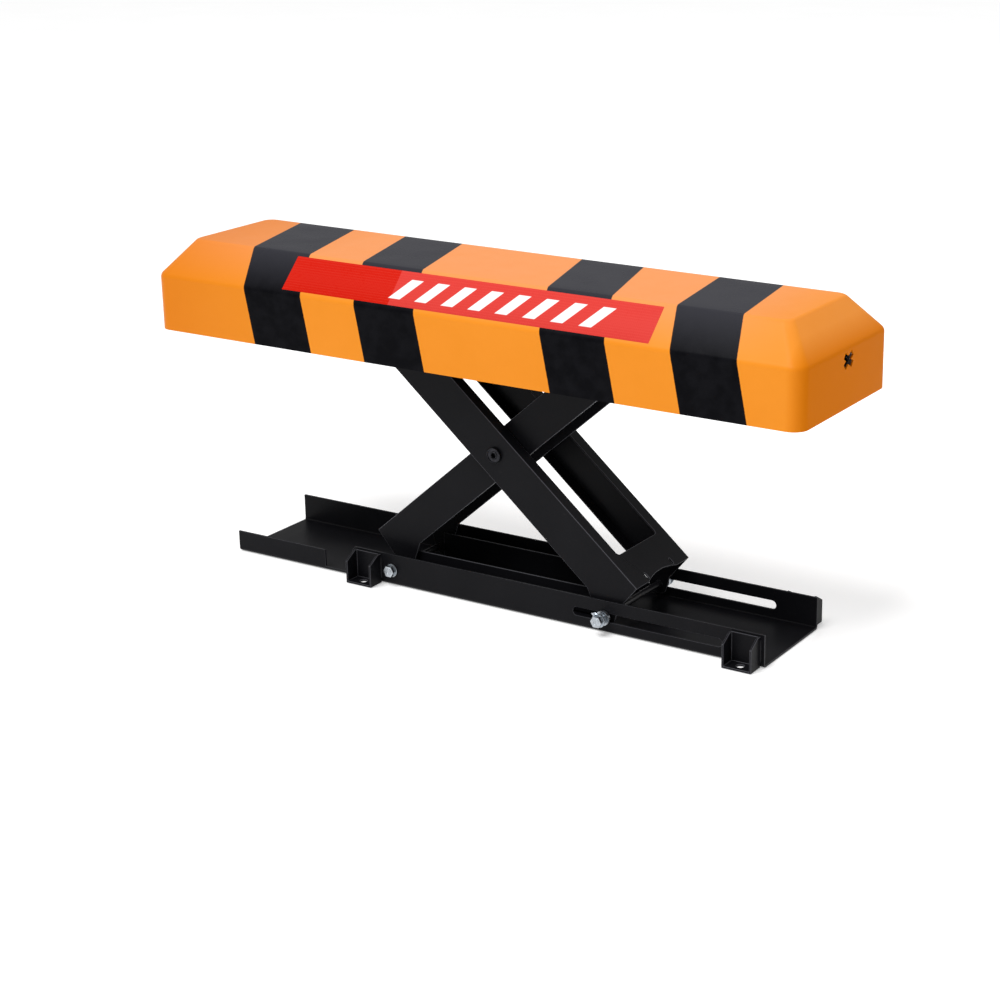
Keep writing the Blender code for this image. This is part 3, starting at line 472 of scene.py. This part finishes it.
def cover_section(inset):
    """(lean, z) up the cover's wall and slope and onto its top, with round bends between them."""
    tilt = math.atan2(RISE, SIDE_RUN)
    shoulder = SHOULDER - inset + inset * math.tan(tilt / 2)
    top = cover_high.z - inset
    run = (top - shoulder) / math.tan(tilt)
    start, corner = Vector((0.0, cover_low.z)), Vector((0.0, shoulder))
    edge, centre = Vector((run, top)), Vector((run + 0.05, top))
    line = [start, Vector((0.0, cover_low.z + 0.0008))]
    line += fillet(start, corner, edge, SHOULDER_BEND - inset)
    line += fillet(corner, edge, centre, TOP_BEND - inset)
    line.append(Vector((run + 0.02, top)))
    return line


def cover_piece():
    """The pressed cover with soft bends, a dull inside skin, and the keyhole in its right end."""
    made = bmesh.new()
    half = (cover_high - cover_low) / 2
    shells = []
    for inset in (0.0, SKIN):
        rings = []
        for lean, z in cover_section(inset):
            x = half.x - inset - lean * END_RUN / SIDE_RUN
            y = half.y - inset - lean
            radius = max(CORNER - inset - lean * CORNER_TAPER, LEAST_CORNER)
            rings.append(rounded_ring(made, x, y, radius, z))
        shells.append(rings)
    outer, inner = shells

    def bridge(low, high, slot):
        for i in range(len(low)):
            j = (i + 1) % len(low)
            made.faces.new((low[i], low[j], high[j], high[i])).material_index = slot

    for low, high in zip(outer, outer[1:]):
        bridge(low, high, 0)
    for low, high in zip(inner, inner[1:]):
        bridge(high, low, 1)
    bridge(inner[0], outer[0], 0)
    made.faces.new(outer[-1]).material_index = 0
    made.faces.new(list(reversed(inner[-1]))).material_index = 1
    cover = piece("striped_cover", made, (ENAMEL, INNER_COAT), "head", 30.0)
    cutter = bmesh.new()
    for turn in (KEY_TURN, -KEY_TURN):
        place = Matrix.Translation((cover_high.x, KEY.y, KEY.z)) @ Matrix.Rotation(math.radians(turn), 4, "X")
        bmesh.ops.create_cube(cutter, size=1.0, matrix=place @ Matrix.Diagonal((*KEY_BAR, 1.0)))
    bmesh.ops.recalc_face_normals(cutter, faces=cutter.faces)
    mesh = bpy.data.meshes.new("keyhole_cutter")
    cutter.to_mesh(mesh)
    cutter.free()
    tool = bpy.data.objects.new("keyhole_cutter", mesh)
    bpy.context.scene.collection.objects.link(tool)
    step = cover.modifiers.new("keyhole", "BOOLEAN")
    step.operation, step.solver, step.object, step.use_self = "DIFFERENCE", "EXACT", tool, True
    graph = bpy.context.evaluated_depsgraph_get()
    result = bpy.data.meshes.new_from_object(cover.evaluated_get(graph))
    cover.modifiers.clear()
    cover.data = result
    bpy.data.objects.remove(tool)
    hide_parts("cover_shell")
    return cover


BAND_FROM, BAND_LENGTH, BAND_LEAN = -250.0 * MM, 511.0 * MM, 2.5 * MM
FILM_EDGE, FILM_FACE = 0.1 * MM, 0.3 * MM  # how far the film stands off the slope


def band_piece():
    """The strip of film on the front slope, cut at a slant at both ends."""
    made = bmesh.new()
    slope = Vector((0.0, SIDE_RUN, RISE)).normalized()
    out = Vector((0.0, -RISE, SIDE_RUN)).normalized()
    foot = Vector((0.0, cover_low.y, SHOULDER))
    length = math.hypot(SIDE_RUN, RISE)
    low, high = 5.2 * MM, length - 4.5 * MM
    columns = 40
    rim = 0.4 * MM
    rows = ((low, FILM_EDGE), (low + rim, FILM_FACE), (high - rim, FILM_FACE), (high, FILM_EDGE))
    grid = []
    for i in range(columns + 1):
        share = i / columns
        column = []
        for along, lift in rows:
            lean = BAND_LEAN * along / length
            x = BAND_FROM + share * BAND_LENGTH + lean
            place = foot + slope * along + out * (lift if 0 < i < columns else FILM_EDGE)
            column.append(made.verts.new((x, place.y, place.z)))
        grid.append(column)
    for first, second in zip(grid, grid[1:]):
        for j in range(len(rows) - 1):
            made.faces.new((first[j], second[j], second[j + 1], first[j + 1]))
    return piece("reflective_band", made, (BAND,), "head", 60.0)


def weld_bead(made, start, end, radius, outward):
    """A lumpy fillet of weld along an edge: a tube whose size ripples and tapers at both ends."""
    count = max(int((end - start).length / 0.0016), 6)
    sides = 8
    axis = (end - start).normalized()
    side = axis.cross(outward).normalized()
    rings = []
    for i in range(count + 1):
        t = i / count
        ripple = 1.0 + 0.14 * math.sin(i * 2.1) + 0.06 * math.sin(i * 5.3)
        size = radius * ripple * min(1.0, 0.35 + 5 * min(t, 1 - t))
        place = start.lerp(end, t)
        ring = []
        for k in range(sides):
            angle = 2 * math.pi * k / sides
            ring.append(made.verts.new(place + (outward * math.cos(angle) + side * math.sin(angle)) * size))
        rings.append(ring)
    for low, high in zip(rings, rings[1:]):
        for k in range(sides):
            j = (k + 1) % sides
            made.faces.new((low[k], low[j], high[j], high[k]))
    made.faces.new(rings[0])
    made.faces.new(list(reversed(rings[-1])))


WELD_RADIUS = 1.4 * MM


def bracket_welds():
    """The beads that hold the four anchor brackets to the channel's sides."""
    made = bmesh.new()
    for name in nodes:
        if not name.startswith("anchor_bracket"):
            continue
        low, high = (Vector(corner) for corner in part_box(name))
        front = "front" in name
        y = channel_low.y if front else channel_high.y
        sign = -1.0 if front else 1.0
        top = min(high.z, channel_high.z) - 0.004
        for x, side in ((low.x, -1.0), (high.x, 1.0)):
            out = Vector((side, sign, 0.0)).normalized()
            foot = Vector((x, y + sign * 0.0004, 0.006))
            weld_bead(made, foot, Vector((x, foot.y, top)), WELD_RADIUS, out)
    return piece("bracket_welds", made, (WELD,), "base", 60.0)


def ring_loops(made, profile, axis_point, axis, count=40):
    """A ring turned from a closed profile of (radius, along) round a level axis."""
    across = Vector((0, 0, 1))
    side = axis.cross(across).normalized()
    loops = []
    for radius, along in profile:
        loop = []
        for k in range(count):
            angle = 2 * math.pi * k / count
            way = across * math.cos(angle) + side * math.sin(angle)
            loop.append(made.verts.new(axis_point + axis * along + way * radius))
        loops.append(loop)
    loops.append(loops[0])
    for first, second in zip(loops, loops[1:]):
        for k in range(count):
            j = (k + 1) % count
            made.faces.new((first[k], first[j], second[j], second[k]))


# Ring profiles: (radius, how far it stands off the face).
RIM_PROFILE = ((0.0082, -0.0004), (0.0084, 0.0009), (0.0090, 0.0012), (0.0096, 0.0004), (0.0096, -0.0006))
BOSS_PROFILE = ((0.0034, -0.0004), (0.0036, 0.0007), (0.0044, 0.0009), (0.0050, 0.0003), (0.0050, -0.0004))
HEAD_PROFILE = ((0.0026, 0.0002), (0.0028, -0.0003), (0.0046, -0.0003), (0.0048, 0.0002))


def pivot_rims():
    """The pressed rim round each centre pivot, with the riveted boss in its middle."""
    made = bmesh.new()
    for name, sign in (("centre_pivot_bolt_front", -1.0), ("centre_pivot_bolt_rear", 1.0)):
        low, high = (Vector(corner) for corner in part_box(name))
        face = low.y if sign < 0 else high.y
        start = Vector((CENTRE.x, face, CENTRE.z))
        out = Vector((0.0, sign, 0.0))
        ring_loops(made, RIM_PROFILE, start, out)
        ring_loops(made, BOSS_PROFILE, start, out)
    return piece("centre_pivot_rims", made, (BLACK_OXIDE,), "outer_arm_body", 50.0)


THREAD_RADIUS, THREAD_PITCH, THREAD_DEPTH = 4.0 * MM, 1.25 * MM, 0.45 * MM  # M8
THREAD_STEPS = 20  # to a turn


def helix_ridge(made, point, axis, start, end):
    """A thread's ridge wound round a shank, fading at both ends."""
    across = Vector((0, 0, 1))
    side = axis.cross(across).normalized()
    steps = max(int((end - start) / THREAD_PITCH * THREAD_STEPS), THREAD_STEPS)
    foot, root = THREAD_PITCH * 0.42, THREAD_RADIUS - 0.0001
    rows = []
    for i in range(steps + 1):
        angle = 2 * math.pi * i / THREAD_STEPS
        along = start + (end - start) * i / steps
        way = across * math.cos(angle) + side * math.sin(angle)
        fade = min(1.0, 10 * min(i, steps - i) / steps)
        rows.append([
            made.verts.new(point + axis * (along - foot) + way * root),
            made.verts.new(point + axis * along + way * (THREAD_RADIUS + THREAD_DEPTH * fade)),
            made.verts.new(point + axis * (along + foot) + way * root),
        ])
    for first, second in zip(rows, rows[1:]):
        for k in range(2):
            made.faces.new((first[k], first[k + 1], second[k + 1], second[k]))


def thread_piece(name, bolt, nut, body):
    """The thread that shows where a bolt comes out of its nut, and a washer face on its head."""
    low, high = (Vector(corner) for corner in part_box(bolt))
    nut_low, nut_high = (Vector(corner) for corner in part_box(nut))
    centre = (nut_low + nut_high) / 2
    axis = Vector((0, 1, 0))
    clear = 0.6 * MM
    made = bmesh.new()
    helix_ridge(made, Vector((centre.x, 0.0, centre.z)), axis, nut_high.y + clear, high.y - clear)
    ring_loops(made, HEAD_PROFILE, Vector((centre.x, low.y, centre.z)), axis)
    return piece(name, made, (ZINC,), body, 40.0)


TAB_OUTLINE = ((-0.0035, 0.0072), (0.0035, 0.0072), (0.0030, 0.0112), (-0.0030, 0.0112))
TAB_TURN, TAB_BEND, TAB_THICK = -28.0, 2.2 * MM, 1.2 * MM  # the turn in degrees


def lock_tabs():
    """The bent ear of the tab washer at the slider's head, and its twin at the back."""
    made = bmesh.new()
    turned = Matrix.Rotation(math.radians(TAB_TURN), 3, "Y")
    for name, sign in (("slider_washer_front", -1.0), ("slider_washer_rear", 1.0)):
        low, high = (Vector(corner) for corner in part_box(name))
        face = low.y if sign < 0 else high.y
        near, far = [], []
        for i, (u, v) in enumerate(TAB_OUTLINE):
            y = face + (sign * TAB_BEND if i > 1 else 0.0)  # the last two corners are its bent tip
            p = turned @ Vector((u, 0, v))
            near.append(made.verts.new((SLIDER.x + p.x, y, SLIDER.z + p.z)))
            far.append(made.verts.new((SLIDER.x + p.x, y - sign * TAB_THICK, SLIDER.z + p.z)))
        made.faces.new(near)
        made.faces.new(list(reversed(far)))
        for i in range(4):
            j = (i + 1) % 4
            made.faces.new((near[j], near[i], far[i], far[j]))
    return piece("slider_lock_tabs", made, (ZINC,), "outer_arm_body", 30.0)


LIP_FROM, LIP_TO = -150.0, 194.0  # mm along the arm from the centre pivot
# (out, up) in mm, from the inside of the arm's side.
LIP_SECTION = ((0.5, 0.05), (-13.4, 0.05), (-14.0, 0.6), (-14.0, 1.9), (-13.4, 2.5), (0.5, 2.5))


def arm_edge_lips():
    """The turned-in lower edges of the outer arm's two sides."""
    made = bmesh.new()
    lean = math.radians(ARM_LEAN)
    along = Vector((math.cos(lean), 0.0, -math.sin(lean)))
    above = Vector((math.sin(lean), 0.0, math.cos(lean)))
    for side in (-1.0, 1.0):
        ends = []
        for reach in (LIP_FROM, LIP_TO):
            place = CENTRE + along * (reach * MM) - above * (ARM_DEPTH / 2 * MM)
            loop = []
            for out, up in LIP_SECTION:
                across = Vector((0.0, side * (ARM_INNER_HALF + out) * MM, 0.0))
                loop.append(made.verts.new(place + across + above * (up * MM)))
            ends.append(loop)
        for i in range(len(LIP_SECTION)):
            j = (i + 1) % len(LIP_SECTION)
            made.faces.new((ends[0][i], ends[0][j], ends[1][j], ends[1][i]))
        made.faces.new(ends[0])
        made.faces.new(list(reversed(ends[1])))
    return piece("arm_edge_lips", made, (BLACK_COAT,), "outer_arm_body", 30.0)


cover_piece()
band_piece()
arm_edge_lips()
bracket_welds()
pivot_rims()
thread_piece("slider_bolt_thread", "slider_bolt", "slider_nut", "outer_arm_body")
thread_piece("fixed_pivot_thread", "fixed_pivot_bolt", "fixed_pivot_nut", "base")
thread_piece("upper_pivot_thread", "upper_pivot_bolt", "upper_pivot_nut", "head")
thread_piece("drive_rod_thread", "drive_rod", "drive_rod_nut", "drive_yoke")
lock_tabs()


# ---- floor, light, camera -------------------------------------------------------------------------------
def floor_material():
    """A pale floor that nearly meets the white behind it."""
    m = Nodes("studio_floor")
    cloudy = m.spread(m.noise(3.0), 0.3, 0.7, 0.0, 1.0)
    m.set(Base_Color=m.mix(cloudy, (0.955, 0.955, 0.955), (0.97, 0.97, 0.97)))
    m.set(Roughness=m.spread(m.noise(5.0), 0.3, 0.7, 0.07, 0.1), Specular_IOR_Level=0.5, IOR=1.25)
    m.set(Emission_Color=(1.0, 1.0, 1.0), Emission_Strength=0.3)
    return m.material


def make_stage():
    """The floor, a hair below the ground so that it doesn't meet the base's underside."""
    made = bmesh.new()
    bmesh.ops.create_grid(made, x_segments=2, y_segments=2, size=60.0)
    mesh = bpy.data.meshes.new("studio_floor")
    made.to_mesh(mesh)
    made.free()
    mesh.materials.append(floor_material())
    floor = bpy.data.objects.new("studio_floor", mesh)
    floor.location.z = -0.0006
    bpy.context.scene.collection.objects.link(floor)


def area_light(name, place, target, size, power):
    """A white panel that shines at a target."""
    data = bpy.data.lights.new(name, "AREA")
    data.shape = "RECTANGLE"
    data.size, data.size_y = size
    data.energy = power
    lamp = bpy.data.objects.new(name, data)
    lamp.location = place
    lamp.rotation_euler = (Vector(target) - Vector(place)).to_track_quat("-Z", "Y").to_euler()
    bpy.context.scene.collection.objects.link(lamp)


def make_light():
    """A soft sun, three panels and a white world, which lights less than it shows to the camera."""
    bpy.context.scene.view_settings.view_transform = "Standard"
    world = bpy.data.worlds.new("studio_world")
    bpy.context.scene.world = world
    world.use_nodes = True
    tree = world.node_tree
    tree.nodes["Background"].inputs["Color"].default_value = (1.0, 1.0, 1.0, 1.0)
    seen = tree.nodes.new("ShaderNodeLightPath").outputs["Is Camera Ray"]
    strength = tree.nodes.new("ShaderNodeMapRange")
    tree.links.new(seen, strength.inputs["Value"])
    strength.inputs["To Min"].default_value = 0.42
    strength.inputs["To Max"].default_value = 1.0
    tree.links.new(strength.outputs["Result"], tree.nodes["Background"].inputs["Strength"])
    sun = bpy.data.lights.new("key", "SUN")
    sun.energy = 2.1
    sun.angle = math.radians(32)
    lamp = bpy.data.objects.new("key", sun)
    lamp.rotation_euler = Vector((0.5, 1.35, -2.6)).to_track_quat("-Z", "Y").to_euler()
    bpy.context.scene.collection.objects.link(lamp)
    area_light("top", (0.1, 0.5, 2.3), (0.0, 0.0, 0.3), (1.8, 1.4), 13.0)
    area_light("rear", (1.7, 2.2, 1.1), (0.0, 0.0, 0.25), (1.2, 0.9), 5.0)
    area_light("glint", (0.4, -1.8, 2.3), (0.1, 0.0, 0.2), (0.5, 0.5), 6.0)


def make_camera():
    """The camera that was fitted to the photo."""
    data = bpy.data.cameras.new("camera")
    data.sensor_width = 36.0
    data.lens = 77.64
    data.shift_x, data.shift_y = -0.1456, -0.0310
    camera = bpy.data.objects.new("camera", data)
    target = Vector((0.1948, 0.0, 0.1856))
    camera.location = (1.4093, -2.0748, 0.9681)
    camera.rotation_euler = (target - camera.location).to_track_quat("-Z", "Y").to_euler()
    bpy.context.scene.collection.objects.link(camera)
    bpy.context.scene.camera = camera


make_stage()
make_light()
make_camera()
